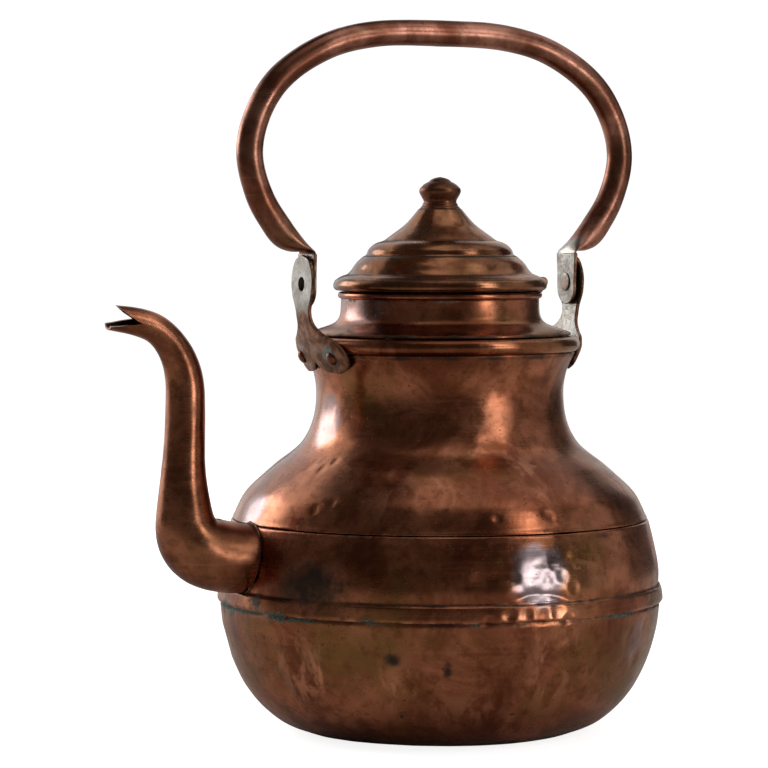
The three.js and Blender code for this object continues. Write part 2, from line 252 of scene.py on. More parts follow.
def turned_sheet(name, line, thickness, push, marks=None):
    """A sheet turned about the Z axis. The line is its outer side, running upwards.

    push gives how far the sheet is knocked out of its true shape at each point.
    """
    on_axis = line[0, 0] == 0
    normal = normals_of(line)
    if on_axis:
        normal[0] = (0, -1)
    along = np.stack([-normal[:, 1], normal[:, 0]], axis=1)
    last = len(line) - 1
    rim = [(0.5 * math.sin(a) * thickness, 0.5 * (math.cos(a) - 1) * thickness)
           for a in np.linspace(0, math.pi, 7)[1:-1]]
    section = [(i, 0, 0) for i in range(last + 1)] + [(last, ahead, back) for ahead, back in rim]
    section += [(i, 0, -thickness) for i in range(last, -1, -1)]
    if not on_axis:
        section += [(0, -ahead, -thickness - back) for ahead, back in rim]
    index = np.array([place for place, _, _ in section])
    ahead, out = np.array(section)[:, 1:].T[:, :, None, None]
    true = lathe(line[:, None], SEGMENTS)
    knocked = push(true)[index, :, None]
    lines = line[index, None] + normal[index, None] * (out + knocked) + along[index, None] * ahead
    found = {mark: values[index] for mark, values in marks(true).items()} if marks else {}
    return skin(name, lathe(lines, SEGMENTS), wrap_rows=not on_axis, marks=found)


def turned_solid(name, line, segments, place=None, push=0.0, marks=None):
    """A solid turned about the Z axis from a closed line, or one that ends on the axis, then placed.

    push is how far its surface wavers, in mm.
    """
    points = lathe(line[:, None], segments)
    if push:
        points = points * (1 + push * clouds(points, 3.5, 71)[..., None] / np.abs(line).max())
    if place is not None:
        turn = np.array(place)
        points = points @ turn[:3, :3].T + turn[:3, 3]
    return skin(name, points, wrap_rows=line[0, 0] > 0, marks=marks)


def cut_with(piece, cutter):
    """Cuts the cutter's shape away from the piece, and deletes the cutter."""
    modifier = piece.modifiers.new("cut", "BOOLEAN")
    modifier.object = cutter
    modifier.operation = "DIFFERENCE"
    modifier.solver = "EXACT"
    bpy.context.view_layer.update()
    evaluated = piece.evaluated_get(bpy.context.evaluated_depsgraph_get())
    mesh = bpy.data.meshes.new_from_object(evaluated)
    piece.modifiers.clear()
    piece.data = mesh
    mesh.shade_smooth()
    mesh.set_sharp_from_angle(angle=math.radians(CREASE))
    bpy.data.objects.remove(cutter)


def prism(name, outline, half_width, skew=0.0):
    """A block: an outline of [x, z] points, as wide as half_width each side of Y = 0.

    skew is how far it climbs for each mm along Y.
    """
    count = len(outline)
    points = [(x, y, z + skew * y) for y in (-half_width, half_width) for x, z in outline]
    faces = [list(range(count)), list(range(2 * count - 1, count - 1, -1))]
    faces += [[i, (i + 1) % count, count + (i + 1) % count, count + i] for i in range(count)]
    return mesh_piece(name, points, faces)


def rounded(piece, width):
    """Rounds every edge of a piece whose faces meet at more than corner radians."""
    corner = 0.5
    build = bmesh.new()
    build.from_mesh(piece.data)
    edges = [e for e in build.edges if len(e.link_faces) == 2 and e.calc_face_angle(0) > corner]
    bmesh.ops.bevel(build, geom=edges, offset=width * MM, segments=3, affect="EDGES", profile=0.5)
    build.to_mesh(piece.data)
    build.free()
    piece.data.shade_smooth()
    piece.data.set_sharp_from_angle(angle=math.radians(PLATE_CREASE))
    return piece


def joined(name, pieces):
    """Several meshes as one piece."""
    build = bmesh.new()
    for piece in pieces:
        build.from_mesh(piece.data)
    mesh = bpy.data.meshes.new(name)
    build.to_mesh(mesh)
    build.free()
    for piece in pieces:
        bpy.data.objects.remove(piece)
    mesh.set_sharp_from_angle(angle=math.radians(PLATE_CREASE))
    return linked(name, mesh)


def stands_for(piece, node, material):
    """Puts the piece in place of a CAD node, on its body and with the given material."""
    piece.data.materials.clear()
    piece.data.materials.append(material)
    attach(piece, BODY_OF[node])
    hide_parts(node)


def out_from_axis(points):
    return np.hypot(points[..., 0], points[..., 1])


# ---------- Wear of the body ----------
# Dents: azimuth in degrees, height, radius and depth in mm.
DENTS = [
    (-86.4, 76.5, 4.5, 0.4), (-98.6, 76.6, 2.4, 0.35), (-82.6, 71.5, 3.5, 0.35), (-104, 81, 3, 0.3),
    (-80, 84, 4, 0.4), (-102.4, 101.5, 1.8, 0.2), (-87.5, 102.7, 2.4, 0.2), (-86.2, 101.4, 2.2, 0.2),
    (-155, 104, 2.6, 0.35), (-150, 107, 2, 0.25), (-133, 119, 3, 0.2), (-170, 121, 3, 0.35),
    (-163, 120, 2.4, 0.3), (-160, 123, 2, 0.25), (-101, 61, 3.2, 0.5), (-106, 59, 2.6, 0.5),
    (-92, 60.5, 4, 0.45), (-88, 62, 4, 0.5), (-85, 58.5, 2.6, 0.6), (-96.5, 61, 3.4, 0.4),
    (-128, 41, 5.5, 0.35), (-127, 30, 3.5, 0.4), (-137, 30, 4.5, 0.6), (-129, 16, 2.5, 0.5),
    (-149, 24, 4, 0.5), (-100, 22, 5, 0.4), (-118, 33, 3, 0.3), (-60, 46, 6, 0.6), (-97, 131, 7, 0.3),
    (-150, 146, 7, 0.3), (-107, 80, 5, 0.35), (20, 80, 8, 0.7), (48, 40, 9, 0.8), (95, 104, 6, 0.7),
    (130, 70, 7, 0.6), (70, 26, 6, 0.6), (158, 40, 7, 0.6), (100, 128, 5, 0.3), (5, 104, 5, 0.5),
    (-30, 62, 6, 0.4),
]
# Crumpled places: azimuth, height, half width, half height, depth, and how many hollows each is made of.
CRUMPLES = [
    (-88.5, 77, 6, 5, 0.4, 3), (-86, 40, 8, 15, 0.6, 8), (-163, 31, 12, 14, 0.9, 8),
    (-145, 30, 14, 9, 0.8, 9), (-82, 84, 4, 5, 0.5, 3), (-56, 42, 8, 12, 0.6, 4), (60, 84, 12, 10, 0.7, 5),
    (115, 36, 13, 11, 0.6, 6), (-20, 30, 12, 10, 0.5, 5), (-120, 105, 10, 6, 0.3, 4),
    (-170, 76, 6, 10, 0.4, 3),
]
# Worn places where clean metal shows, and painted highlights: azimuth, height, half width, half height, and
# strength.
# The first is a polished patch, whitish to paint the reflection it shows; the last three are painted
# highlights where the left window's light falls on the collar, neck and shoulder.
WORN_AND_HIGHLIT = [(-92, 77.5, 15, 15.5, 1.0), (-56, 44, 7, 11, 0.5), (-172, 190, 18, 9, 0.6),
        (-178, 138, 12, 14, 0.7), (177, 101, 12, 8, 0.75)]
# Rubbed places, streaked with brighter copper: azimuth, height, half width, half height and strength.
# Those on the front are painted highlights, brighter streaks for the reflections of crumpled metal; those
# on the back are rubbed wear.
RUBBED_AND_HIGHLIT = [(-150, 30, 26, 17, 1.0), (-130, 28, 14, 9, 0.8), (-88, 38, 13, 20, 0.9), (-112, 20, 26, 8, 0.5),
          (-128, 108, 22, 9, 0.6), (-96, 122, 30, 8, 0.4), (-75, 78, 14, 12, 0.35), (-95, 60.5, 22, 4, 0.9),
          (60, 50, 40, 20, 0.6), (140, 110, 40, 12, 0.5), (150, 30, 30, 16, 0.8)]
# Upright flats knocked into the band, each with a step along its lower side: azimuth, height, depth,
# sideways tilt, and how far down the step is.
FLATS = [(-92.5, 78, 0.5, 0.0, 13), (-86, 85.5, 0.6, -0.06, 5), (-100.5, 78.5, 0.4, 0.06, 5)]
FLAT_SLOPE = 0.075      # how fast a flat goes in towards its lower side
STEP_SLOPE = 0.25       # how fast the step under it comes out again
FLAT_ROUGH = 0.28       # mm
# Over how many mm the creases round dents, crumples and flats are softened.
DENT_BLEND = 0.1
CRUMPLE_BLEND = 0.04
FLAT_BLEND = 0.25


def around(points, azimuth, height):
    """Distance in mm round the kettle and up from a place, for each point."""
    turn = np.arctan2(points[..., 1], points[..., 0]) - math.radians(azimuth)
    turn = (turn + math.pi) % (2 * math.pi) - math.pi
    return turn * np.maximum(out_from_axis(points), 1), points[..., 2] - height


def bare_and_highlight_area(points, azimuth, height, half_width, half_height, bare_and_highlight):
    """How strong a whitish patch with a ragged edge is, and 0 outside it: bare metal at some places, a
    painted highlight at others.
    """
    across, up = around(points, azimuth, height)
    reach = np.hypot(across / half_width, up / half_height) + 0.3 * clouds(points, 9, 51)
    return (1 - ease(reach, 0.7, 1.1)) * bare_and_highlight


def hollow(points, azimuth, height, reach, depth, tilts):
    """The floor of a dent, in mm out from the sheet: flats that meet in creases, one for each tilt."""
    across, up = around(points, azimuth, height)
    bowl = depth * ((across**2 + up**2) / reach**2 - 1)
    floors = [bowl + depth / reach * (across * tilt[0] + up * tilt[1]) for tilt in tilts]
    return np.max(floors, axis=0)


def lower(push, floor, blend):
    """The lower of two surfaces, with the crease between them softened."""
    return (push + floor - np.sqrt((push - floor) ** 2 + blend**2)) / 2


def dented(points):
    """How far dents, crumples and flats move the sheet, in mm: below 0 is inwards."""
    push = np.zeros(points.shape[:-1])
    for azimuth, height, reach, depth in DENTS:
        push = lower(push, hollow(points, azimuth, height, reach, depth, [(0, 0)]), DENT_BLEND)
    draw = np.random.default_rng(7)
    for azimuth, height, half_width, half_height, depth, count in CRUMPLES:
        for _ in range(count):
            aside, above = draw.uniform(-0.8, 0.8, 2)
            reach = draw.uniform(0.5, 0.8) * min(half_width, half_height)
            turn = azimuth + math.degrees(aside * half_width / BELLY_R)
            tilts = draw.uniform(-1, 1, (4, 2))
            deep = depth * draw.uniform(0.5, 1)
            floor = hollow(points, turn, height + above * half_height, reach, deep, tilts)
            push = lower(push, floor, CRUMPLE_BLEND)
    for azimuth, height, depth, tilt, low in FLATS:
        across, up = around(points, azimuth, height)
        flat = FLAT_SLOPE * up + tilt * across + across**2 / (2 * BELLY_R) - depth
        floor = np.maximum(flat, -STEP_SLOPE * (up + low)) + FLAT_ROUGH * clouds(points, 5, 61, 2)
        push = lower(push, floor, FLAT_BLEND)
    return push


def wear(points):
    """How far the sheet lies out from its true outline, in mm."""
    push = 0.5 * clouds(points, 75, 3, 2) - 0.35
    spread = ease(clouds(points, 60, 17, 2), -0.35, 0.45)
    push = push + (0.03 + 0.12 * spread) * facets(points, 12, 23)
    push = push + 0.04 * clouds(points, 7, 31, 2) + dented(points)
    return push * ease(out_from_axis(points), 0, 30)


def lip_wobble(points):
    """The belly band's lip waves in and out, and was tapped down in places."""
    near_lip = 1 - ease(points[..., 2], LAP_Z + 1, LAP_Z + 9)
    low = points * (1, 1, 0.2)
    return wear(points) + near_lip * (0.4 * clouds(low, 26, 81, 2) + 0.25 * clouds(low, 7, 83, 2))


# ---------- Marks of the body ----------
# Dirt along seams: height and half height in mm, how dark, and how much verdigris.
BOWL_SEAMS = [(LAP_Z - 0.6, 1.1, 0.8, 1.3), (1, 2.2, 0.5, 0.2)]
BAND_SEAMS = [(LAP_Z + 7.7, 0.7, 0.9, 0.5), (STEP_Z - 2.2, 2.0, 0.5, 0.2)]
NECK_SEAMS = [(STEP_Z + 1.0, 1.2, 0.25, 0.3), (RING_Z - 4.8, 1.3, 0.8, 0.7), (RING_Z + 4.8, 0.9, 0.8, 0.5),
              (BEAD_Z - 2.0, 0.7, 0.6, 0.8)]
# Clouds of verdigris: azimuth, height, half width, half height and strength.
GREEN = [(-162, 57.5, 16, 4, 0.7), (-140, 58, 20, 3, 0.6), (-118, 59, 14, 1.5, 0.5), (-172, 62, 8, 8, 0.5),
         (170, 57, 26, 5, 0.6), (-50, 60, 6, 3, 0.6), (40, 57, 24, 4, 0.6), (110, 58, 30, 3, 0.6),
         (-140, STEP_Z, 30, 1.6, 0.4)]
# Dark spots: azimuth, height, half width, half height and strength.
SPOTS = [
    # The first spot is a painted shadow of the spout across the band; the others darken small dents.
    (-152, 73, 26, 15, 0.8), (-130, 42, 5, 4, 0.85), (-116, 37, 2.5, 5, 0.75), (-102.4, 101.5, 2, 2, 0.5),
    (-86.5, 102, 3, 2, 0.4), (-107, 76, 2.5, 9, 0.4), (-129, 16, 1, 1, 1), (-97, 17, 2, 1, 0.8),
    (-150, 26, 3, 2, 0.5),
]


def patches(points, places):
    """Soft-edged blots at places on the body."""
    found = np.zeros(points.shape[:-1])
    for azimuth, height, half_width, half_height, strength in places:
        across, up = around(points, azimuth, height)
        found = np.maximum(found, strength * np.exp(-(across / half_width) ** 2 - (up / half_height) ** 2))
    return found


def marks_with(seams):
    """The marks of a body shell, from 0 to 1: dirt and painted shade, verdigris, bare and rubbed places
    with painted highlights, and olive tint.
    """
    def body_marks(points):
        height = points[..., 2]
        flat = points * (1, 1, 0.3)
        ragged = 0.45 + 0.55 * ease(clouds(flat, 8, 91), -0.5, 0.35)
        bloom = ease(clouds(flat, 22, 97), -0.25, 0.5)
        # Painted shadow of the spout and darkened dents, then dirt along the seams below.
        dirt_and_shade = patches(points, SPOTS)
        green = 1.5 * patches(points, GREEN) * ease(clouds(points, 9, 95), -0.7, 0.4)
        for level, half, dark, verdigris in seams:
            away = np.abs(height - level - 0.4 * clouds(flat, 9, 93)) / half
            dirt_and_shade = np.maximum(dirt_and_shade, np.exp(-away**2) * dark * ragged)
            green = np.maximum(green, np.exp(-(away / 1.4) ** 2) * verdigris * bloom)
        bare_and_highlight = np.max([bare_and_highlight_area(points, *place) for place in WORN_AND_HIGHLIT], axis=0)
        # A thin painted highlight along the lower edge of the band's lip.
        lip = np.exp(-((height - LAP_Z) / 0.7) ** 2) * (seams is BAND_SEAMS)
        rubbed_and_highlight = np.maximum(patches(points, RUBBED_AND_HIGHLIT), lip)
        return {"dirt_and_shade": dirt_and_shade, "green": green, "bare_and_highlight": bare_and_highlight, "rubbed_and_highlight": rubbed_and_highlight,
                "olive": 1 - ease(height + 5 * clouds(points, 30, 99), 48, 66)}
    return body_marks


# ---------- Body shells ----------
def bowl_line():
    base = [(0, 1.4), (30, 1.2), (58, 0.6), (61, 0)]
    wall = [(73.3, 4.6), (84.8, 15.3), (92.6, 28.8), (97.7, 45), (99.3, 56.6)]
    return creased(base, [(62.5, 0)], wall, [(98.7, LAP_Z + 0.8)], [(98.7, LAP_Z + 7)])


def band_line():
    lip = [(BELLY_R - 0.45, LAP_Z), (BELLY_R, LAP_Z + 0.5), (BELLY_R - 0.05, LAP_Z + 3.5),
           (BELLY_R - 0.35, LAP_Z + 6.8)]
    wall = [(98.9, LAP_Z + 14), (97, LAP_Z + 25), (94.7, STEP_Z - 2.2), (94.4, STEP_Z - 1),
            (94.05, STEP_Z - 0.25), (93.6, STEP_Z)]
    return creased(lip, [(BELLY_R - 1.5, LAP_Z + 7.7)], wall, step=0.5, soften=1)


def neck_line():
    tucked = [(91.3, STEP_Z - 5), (91.3, STEP_Z - 0.4)]
    ledge = [(92.2, STEP_Z - 0.2), (93.6, STEP_Z - 0.12)]
    shoulder = [(93.85, STEP_Z + 0.5), (92.9, STEP_Z + 2), (91.9, 98.8), (87.7, 106.4), (75.2, 117.9),
                (62.2, 128.7), (57.2, 139), (55.8, 151), (57.2, 160.5), (60.6, RING_Z - ROLL_R - 0.7)]
    return creased(tucked, ledge, shoulder, step=0.6)


def make_body(copper, dark):
    shells = [("bowl_sheet", "lower_bowl", bowl_line(), wear, BOWL_SEAMS),
              ("band_sheet", "belly_band", band_line(), lip_wobble, BAND_SEAMS),
              ("neck_sheet", "shoulder_neck", neck_line(), wear, NECK_SEAMS)]
    for name, node, line, push, seams in shells:
        stands_for(turned_sheet(name, line, SHEET, push, marks_with(seams)), node, copper)
    thin = 1.1
    ring = turned_sheet("shoulder_roll", arc(RING_R, RING_Z, ROLL_R, -90, 202, 40), thin,
                        lambda p: 0.5 * wear(p), marks_with(NECK_SEAMS))
    stands_for(ring, "shoulder_ring", copper)
    wire = turned_solid("roll_wire", arc(RING_R, RING_Z, ROLL_R - thin - 2 * GAP, 0, 345, 23), SEGMENTS)
    stands_for(wire, "ring_wire", dark)
    foot = [(RING_R - 0.8, RING_Z + ROLL_R + GAP + thin), (56, 179), (50, 181)]
    wall = [(47.2, 182.4), (45.4, 184.8), (44.8, 188.5), (44.7, COLLAR_TOP)]
    collar = turned_sheet("collar_sheet", creased(foot, wall, step=0.6), thin,
                          lambda p: 0.4 * wear(p), marks_with(NECK_SEAMS))
    stands_for(collar, "collar", copper)
    bead = turned_solid("collar_edge", arc(44.4, BEAD_Z, 1.55, 0, 345, 23), SEGMENTS)
    stands_for(bead, "collar_bead", copper)


# ---------- Spout ----------
SPOUT_PATH = [(-90, SPOUT_FOOT_Z), (-103, 80.8), (-117, 84.5), (-124, 92.5), (-125.6, 107), (-125.5, 125),
              (-124.8, 145), (-125.2, 160), (-129.5, 172), (-138, 181.2), (-148, 184.6), (-159.8, 186.4)]
# Half thickness at each distance along, in mm.
SPOUT_RADII = [(0, 15.0), (19, 15.9), (33, 15.4), (45, 12.9), (57, 10.9), (71, 9.3), (102, 8.4), (114, 7.7),
               (125, 6.9), (141, 6.2), (157, 5.4)]
SPOUT_ROWS = 300
THINNEST = 0.1          # half the hollow of a pipe where it is pinched flat, in mm
FOOT_CLEAR = 0.15       # mm between the belly and the foot of the spout
SOLDER_CLEAR = 0.12     # mm between the spout and the solder on it


class Pipe:
    """A pipe along a path of [x, z] points: its middle, or its inner side where path_inside is set.

    radii gives [distance along, half thickness in that plane], and widths [distance, half width across
    it]. Where both_ends is set the distances run in from each end. The path is smoothed eased times.
    """

    def __init__(self, path, radii, widths=None, both_ends=False, path_inside=False, eased=0):
        self.line = spaced(spline(path, 0.5), 0.5)
        for _ in range(eased):
            self.line[1:-1] = (self.line[:-2] + 2 * self.line[1:-1] + self.line[2:]) / 4
        along = np.gradient(self.line, axis=0)
        self.along = along / np.linalg.norm(along, axis=1)[:, None]
        self.steps = np.arange(len(self.line))
        self.length = np.linalg.norm(np.diff(self.line, axis=0), axis=1).sum()
        self.radii = spline(radii, 2)
        self.widths = self.radii if widths is None else spline(widths, 2)
        self.both_ends = both_ends
        self.lean = 1.0 if path_inside else 0.0

    def at(self, t, turn, inwards=0.0):
        """The point on the pipe's surface, t from 0 to 1 along it, at an angle round it."""
        place = np.clip(t, 0, 1) * self.steps[-1]
        x, z = (np.interp(place, self.steps, self.line[:, k]) for k in (0, 1))
        ax, az = (np.interp(place, self.steps, self.along[:, k]) for k in (0, 1))
        distance = (np.minimum(t, 1 - t) if self.both_ends else t) * self.length
        radius = np.interp(distance, *self.radii.T)
        width = np.interp(distance, *self.widths.T)
        out = np.maximum(radius - inwards, THINNEST) * np.cos(turn) + self.lean * radius
        aside = np.maximum(width - inwards, THINNEST) * np.sin(turn)
        return np.stack([x - az * out, aside, z + ax * out], axis=-1)

    def crossing(self, beyond, turn, start, end):
        """For each angle, the t between start and end where the surface first passes a boundary."""
        t = np.linspace(start, end, 600)[:, None]
        passed = beyond(self.at(t, turn[None, :]))
        return t[np.argmax(passed, axis=0), 0]


def pipe_grid(pipe, turn, starts, rows, wall, push):
    """Outer and inner surface of a pipe from its start to its end, as one closed grid of rows."""
    u = np.linspace(0, 1, rows)[:, None]
    t = starts + (1 - starts) * u
    turns = np.broadcast_to(turn, t.shape)
    knocked = push(pipe.at(t, turns))
    outer = pipe.at(t, turns, -knocked)
    mid_end = pipe.at(t[-1:], turns[-1:], wall / 2) + (outer[-1:] - outer[-2:-1]) * 0.15
    mid_start = pipe.at(t[:1], turns[:1], wall / 2) + (outer[:1] - outer[1:2]) * 0.15
    inner = pipe.at(t, turns, wall - knocked)
    return np.concatenate([outer, mid_end, inner[::-1], mid_start])


def spout_wear(points):
    push = 0.28 * clouds(points, 30, 5, 2) + 0.08 * facets(points, 9, 29) + 0.04 * clouds(points, 5, 37)
    return push - 0.15


def belly_radius(height):
    line = band_line()
    return np.interp(height, line[:, 1], line[:, 0])


def off_belly(points):
    """How far points lie outside the belly's true shape, in mm."""
    return out_from_axis(points) - belly_radius(points[..., 2])


def make_spout(copper, solder):
    pipe = Pipe(SPOUT_PATH, SPOUT_RADII, eased=90)
    turn = np.linspace(0, 2 * math.pi, 128, endpoint=False)
    starts = pipe.crossing(lambda p: off_belly(p) > FOOT_CLEAR, turn, 0, 0.2)
    points = pipe_grid(pipe, turn, starts, SPOUT_ROWS, SHEET, spout_wear)
    foot = np.clip(off_belly(points), 0, None)
    marks = {
        "dirt_and_shade": 0.5 * np.exp(-foot / 2.2) * ease(clouds(points, 9, 99), -0.6, 0.4)
        + 0.3 * ease(-points[..., 0], 145, 158),
        "green": 0.8 * np.exp(-foot / 1.5) * ease(clouds(points, 8, 101), 0, 0.5),
    }
    # The bore is painted dark all through: painted shade inside the pipe.
    marks["dirt_and_shade"][SPOUT_ROWS + 1:] = 1         # its bore
    spout = skin("spout_pipe", points, wrap_rows=True, marks=marks)
    mouth = [(-147.0, 184.6), (-151.5, 187.4), (-158.2, 192.6), (-163, 198), (-172, 198), (-172, 182.8),
             (-160, 183.1), (-156.4, 183.4), (-152.5, 184.0)]
    cut_with(spout, prism("mouth_cut", mouth, 14, skew=0.18))    # one side of it is cut lower
    stands_for(spout, "spout", copper)
    stands_for(solder_fillet(pipe, turn, starts), "spout_solder", solder)


def solder_fillet(pipe, turn, starts):
    """A thin lumpy fillet between the belly and the foot of the spout, thickest under it."""
    lump = 0.6 * clouds(np.stack([np.cos(turn), np.sin(turn), 0 * turn], -1) * 15, 5, 41)
    size = (0.2 + 0.8 * ease(-np.cos(turn), 0.3, 1)) * (1 + lump)
    rows = []
    for u in np.linspace(0, math.pi / 2, 9):
        climb = size * (1 - math.cos(u))
        spread = size * (1 - math.sin(u))
        rows.append(pipe.at(starts + climb / pipe.length, turn, -SOLDER_CLEAR - spread))
    foot = rows[0]
    scale = (belly_radius(foot[:, 2]) + 0.1) / out_from_axis(foot)
    rows[0] = foot * np.stack([scale, scale, np.ones(len(scale))], -1)
    rows.append(pipe.at(starts, turn, -SOLDER_CLEAR))
    points = np.array(rows)
    crust = ease(SPOUT_FOOT_Z - 6 - points[..., 2], 0, 8)
    return skin("spout_joint", points, wrap_rows=True, marks={"green": crust}, sharp=60)


# ---------- Handle ----------
# The bow's inner side, which runs straight into the flat strap at each end.
BOW_SIDE = [(TAB_IN, TUBE_END_Z), (TAB_IN + 0.1, 214.2), (66.2, 216.2), (69.3, 220.5), (74.6, 227.6),
            (83.2, 240.4), (87.9, 256.5), (85.0, 271), (75.1, 286), (54.6, 298.9), (33, 304.5)]
BOW_TOP_Z = 305.75
BOW_ROWS = 520
# Half thickness and half width at each distance from an end.
BOW_RADII = [(0, 0.8), (1.2, 0.9), (3, 1.9), (6, 3.7), (10, 5.3), (16, 6.3), (26, 6.3), (45, 6.0),
             (260, 5.95)]
BOW_WIDTHS = [(0, 8.4), (3, 8.2), (8, 7.4), (15, 6.4), (26, 6.0), (45, 5.9), (260, 5.95)]


def handle_wear(points):
    push = 0.14 * clouds(points, 24, 7, 2) + 0.05 * facets(points, 7, 43) + 0.03 * clouds(points, 4, 47)
    return push - 0.1


def make_handle(copper):
    path = [(-x, z) for x, z in BOW_SIDE] + [(0, BOW_TOP_Z)] + BOW_SIDE[::-1]
    pipe = Pipe(path, BOW_RADII, BOW_WIDTHS, both_ends=True, path_inside=True)
    turn = np.linspace(0, 2 * math.pi, 96, endpoint=False)
    true_ends = ease(np.abs(np.linspace(-1, 1, BOW_ROWS)), 1, 0.985)[:, None]
    points = pipe_grid(pipe, turn, np.zeros(len(turn)), BOW_ROWS, SHEET,
                       lambda p: handle_wear(p) * true_ends)
    height = points[..., 2] - TUBE_END_Z
    inside = ease(-np.cos(turn), 0.1, 0.8)[None, :]
    marks = {"dirt_and_shade": 0.5 * np.exp(-height / 3) * ease(clouds(points, 6, 103), -0.4, 0.4),
             "green": 0.4 * np.exp(-height / 4) * ease(clouds(points, 6, 105), 0, 0.5),
             "tin": (1 - ease(height + 3 * clouds(points, 6, 107), 3, 10)) * inside}
    tube = skin("handle_bow", points, wrap_rows=True, marks=marks)
    stands_for(tube, "handle_tube", copper)


# ---------- Plates ----------
BRACKET_SIDE = [(0, 212.8), (6.8, 210.3), (10.5, 203.5), (10, 196), (6.6, 188), (7.4, 182.5), (12.5, 178.3),
                (19, 175.2), (23, 170.5), (22, 164.4), (16, 161.4)]
BRACKET_NOTCH = [(0, 166), (3.2, 163), (8, 161.8), (16, 161.4)]
BRACKET_LEAN = [(57.7, 160), (62.9, 171.1), (63.5, 173.4), (64.6, 177), (66.2, 183), (67.1, 188),
                (67.1, 214)]
BRACKET_SHEET = 1.8
BRACKET_BENT = (178, 186)           # bent round the kettle below these heights, and flat above
BRACKET_AT = 68                     # the middle of its sheet at the pivot
BRACKET_HOLE_R = 3.2
BRACKET_STAIN = (13.5, 168.5)       # y and z of the verdigris on its foot
# Between these heights each bracket's inner face is painted dark: painted shade behind the tab.
BEHIND_TAB = (190, 209)             # heights between which its inner face is dark
FOOT_RIVET_TURN = 13.4              # degrees from the bracket's middle to each rivet
TAB_SHEET = 1.6
TAB_END_R = 7.7
TAB_HOLE_R = 2.9
EDGE_SHARE = 0.45                   # how thick a plate is at its edges, as a share of its sheet
PIVOT_SIDES = 64


def plate(name, side, notch, lean, thickness, half_turn, wrap=None, bevel=0.6, bare_below=0.0):
    """A flat or leaning sheet: side is the [y, z] line of its right edge from the top down.

    notch is the edge that runs from its middle to the end of side, and lean the [x, z] line of its
    inner face. half_turn puts it at the front, where X is negative. Between the two heights in wrap the
    sheet turns from bent round the kettle to flat. Its tin is gone below the height bare_below.
    """
    edge = spaced(spline(side, 0.3), 0.4)
    split = edge[:, 1] > notch[0][1]
    lower = edge[~split]
    notch_line = spaced(spline(notch, 0.3) if len(notch) > 2 else np.array(notch, float), 0.1)
    share = np.linspace(0, len(notch_line) - 1, len(lower))
    steps = np.arange(len(notch_line))
    low_inner = np.stack([np.interp(share, steps, notch_line[:, k]) for k in (0, 1)], axis=1)
    inner = np.concatenate([np.stack([np.zeros(split.sum()), edge[split, 1]], 1), low_inner])
    across = (1 - np.cos(np.linspace(0, math.pi, 34))) / 2
    flat = inner[:, None] + (edge - inner)[:, None] * across[None, :, None]
    joins_on_top = edge[1, 1] == edge[0, 1]
    border = np.concatenate([edge[edge[:, 1] < edge[0, 1] - 0.1] if joins_on_top else edge, notch_line])
    away = np.sqrt(((flat[:, :, None] - border[None, None]) ** 2).sum(-1)).min(-1)
    bulge = np.sqrt(1 - (1 - np.clip(away / bevel, 0, 1)) ** 2)
    swell = (EDGE_SHARE + (1 - EDGE_SHARE) * bulge) * thickness / 2
    swell[:, -1] = 0
    swell[~split, 0] = 0
    swell[0] = 0
    grids = []
    for mirror in (1, -1):
        y = flat[..., 0] * mirror
        z = flat[..., 1]
        x, normal = leaning(y, z, lean, wrap)
        base = np.stack([x, y, z], -1)
        wobble = 0.15 * clouds(base, 9, 111) + 0.06 * facets(base, 4, 115)
        base = base + normal * (thickness / 2 + wobble * swell / (thickness / 2))[..., None]
        grids += [base + normal * (face * swell)[..., None] for face in (1, -1)]
    turn = np.array([-1, -1, 1]) if half_turn else np.ones(3)
    points = np.concatenate([grid.reshape(-1, 3) for grid in grids])
    quads = np.array(grid_faces(*away.shape, False, False))
    faces = np.concatenate([quads + k * away.size for k in range(len(grids))]).tolist()
    inner_side = np.tile(np.repeat([0, 1], away.size), 2)
    marks = plate_marks(points, np.tile(away.ravel(), len(grids)), inner_side, bare_below)
    return mesh_piece(name, points * turn, faces, marks, PLATE_CREASE)


def leaning(y, z, lean, wrap):
    """Where the plate's inner face lies over [y, z], and its outward normal there."""
    line = spline(lean, 0.3)
    line = line[np.argsort(line[:, 1])]

    def face(y, z):
        x = np.interp(z, line[:, 1], line[:, 0])
        if wrap is None:
            return x
        return x + (np.sqrt(np.maximum(x**2 - y**2, 1)) - x) * (1 - ease(z, *wrap))

    step = 0.4
    slope_y = (face(y + step, z) - face(y - step, z)) / (2 * step)
    slope_z = (face(y, z + step) - face(y, z - step)) / (2 * step)
    normal = np.stack([np.ones(y.shape), -slope_y, -slope_z], -1)
    return face(y, z), normal / np.linalg.norm(normal, axis=-1)[..., None]


def plate_marks(points, away, inner_side, bare_below):
    """Copper at the edges and where the tin is gone from the bracket's foot, dirt round them, and painted
    shade on the inner face behind the tab.
    """
    edge = 1 - ease(away + 0.15 * clouds(points, 3, 119), 0.1, 0.5)
    foot = 1 - ease(points[:, 2] + 3 * clouds(points, 8, 113), bare_below - 5, bare_below + 4)
    bottom = 1 - ease(points[:, 2] + 2 * clouds(points, 5, 114), 163, 169)
    stain = np.exp(-(((points[:, 1:] - BRACKET_STAIN) / 5) ** 2).sum(-1))
    low, high = BEHIND_TAB
    # Painted shade on the brackets' inner faces behind the tabs.
    painted_shade_behind_tab = inner_side * (points[:, 2] < high) * (points[:, 2] > low) * (bare_below > 0)
    return {"worn": np.maximum(edge, 0.85 * foot), "dirt_and_shade": np.maximum(0.35 * edge + 0.35 * bottom, painted_shade_behind_tab),
            "green": foot * np.maximum(0.5 * ease(clouds(points, 9, 117), 0, 0.6), stain)}


